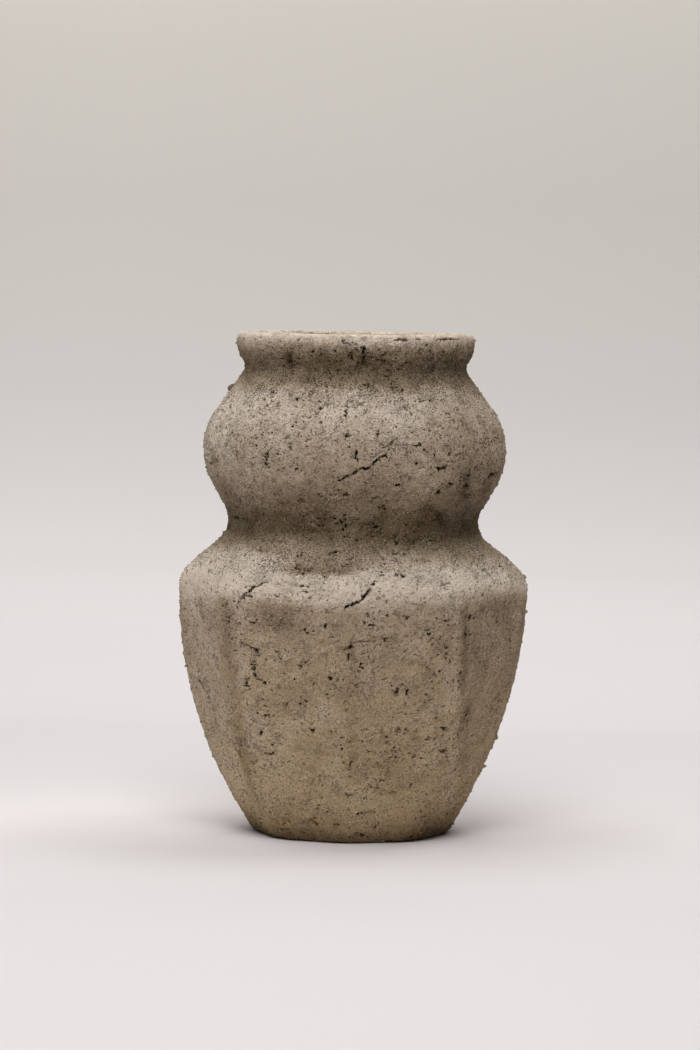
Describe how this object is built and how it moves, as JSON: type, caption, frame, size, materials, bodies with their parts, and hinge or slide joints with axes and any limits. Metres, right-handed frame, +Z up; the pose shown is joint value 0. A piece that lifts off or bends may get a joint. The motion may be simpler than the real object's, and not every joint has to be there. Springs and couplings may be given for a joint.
{
  "type": "urn vase",
  "caption": "Tall urn vase with a soft-cornered faceted body, pinched waist, round belly and rolled lip, in terracotta under a rough stone coat.",
  "frame": {"origin": "centre of the foot, on the surface the vase stands on", "axes": "+Z up along the vase's axis; -Y towards the camera, along one of the eight soft corners; +X to the right as seen from the front"},
  "size_m": [0.2102, 0.2086, 0.3],
  "materials": {
    "terracotta": "matte fired clay",
    "stone_mortar": "rough trowelled stone mortar with pits and cracks",
    "lining_glaze": "dull cream waterproof glaze",
    "grit_stone": "broken stone grains",
    "mortar_crumb": "rough mortar"
  },
  "bodies": {
    "root": {"terracotta_body": "terracotta", "stone_coat": "stone_mortar", "inner_lining": "lining_glaze", "coarse_grit": "grit_stone", "crumb": "mortar_crumb"}
  },
  "joints": []
}
